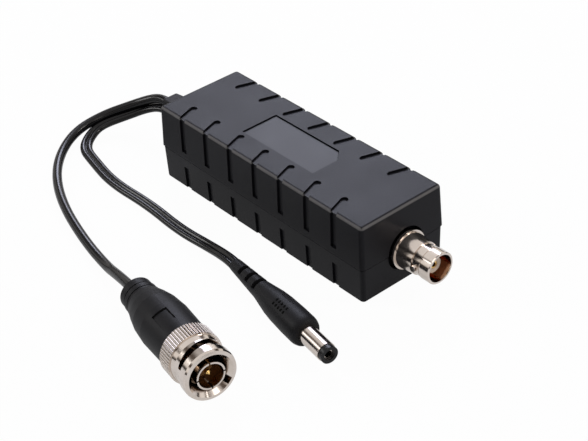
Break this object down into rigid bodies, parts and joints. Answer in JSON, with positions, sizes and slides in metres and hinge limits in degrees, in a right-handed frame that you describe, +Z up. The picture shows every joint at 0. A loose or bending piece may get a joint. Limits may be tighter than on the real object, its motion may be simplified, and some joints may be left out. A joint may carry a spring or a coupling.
{
  "type": "power over coax adapter",
  "caption": "Ribbed box with a bayonet jack at one end, and a coax cord with a bayonet plug and a flat power lead with a barrel plug at the other.",
  "frame": {"origin": "on the floor, below the middle of the box and its jack together", "axes": "+X along the box towards the jack, +Z up, the cords lie on the -Y side"},
  "size_m": [0.1422, 0.0915, 0.025],
  "materials": {
    "shell_plastic": "fine moulded texture",
    "label_film": "smooth matte",
    "screw_steel": "blackened pan head",
    "board_laminate": "green solder mask",
    "choke_ferrite": "ferrite drum in a sleeve",
    "film_capacitor_case": "moulded box",
    "capacitor_sleeve": "shrunk sleeve",
    "component_epoxy": "moulded epoxy",
    "nickel_plate": "bright nickel",
    "jack_dielectric": "cream",
    "gold_plate": "gold plated",
    "moulded_boot": "soft moulded vinyl",
    "cord_jacket": "glossy extruded vinyl",
    "plug_dielectric": "dark brown",
    "gasket_rubber": "silicone",
    "spring_steel": "conical washer",
    "tip_plastic": "moulded"
  },
  "bodies": {
    "adapter": {"upper_shell": "shell_plastic", "lower_shell": "shell_plastic", "label_plate": "label_film", "housing_screws": "screw_steel", "circuit_board": "board_laminate", "filter_choke": "choke_ferrite", "blocking_capacitor": "film_capacitor_case", "smoothing_capacitor": "capacitor_sleeve", "surge_suppressor": "component_epoxy", "regulator_chip": "component_epoxy", "jack_shell": "nickel_plate", "jack_insulator": "jack_dielectric", "jack_contact": "gold_plate", "cord_grommet": "moulded_boot", "coax_cord": "cord_jacket", "plug_boot": "moulded_boot", "plug_body": "nickel_plate", "plug_insulator": "plug_dielectric", "plug_pin": "gold_plate", "plug_gasket": "gasket_rubber", "power_lead": "cord_jacket", "power_boot": "moulded_boot", "power_sleeve": "nickel_plate", "power_tip": "tip_plastic", "power_inner_contact": "nickel_plate"},
    "ring_spring": {"spring_washer": "spring_steel"},
    "ring": {"coupling_ring": "nickel_plate"}
  },
  "joints": [
    {"name": "ring_push", "type": "slide", "parent": "adapter", "child": "ring_spring", "axis": [0.9852, -0.1684, 0.0332], "range_m": [0, 0.0008], "stiffness_N_per_m": 2000},
    {"name": "ring_turn", "type": "hinge", "parent": "ring_spring", "child": "ring", "pos_m": [0.03025, -0.06702, 0.00801], "axis": [0.9852, -0.1684, 0.0332], "continuous": true}
  ]
}
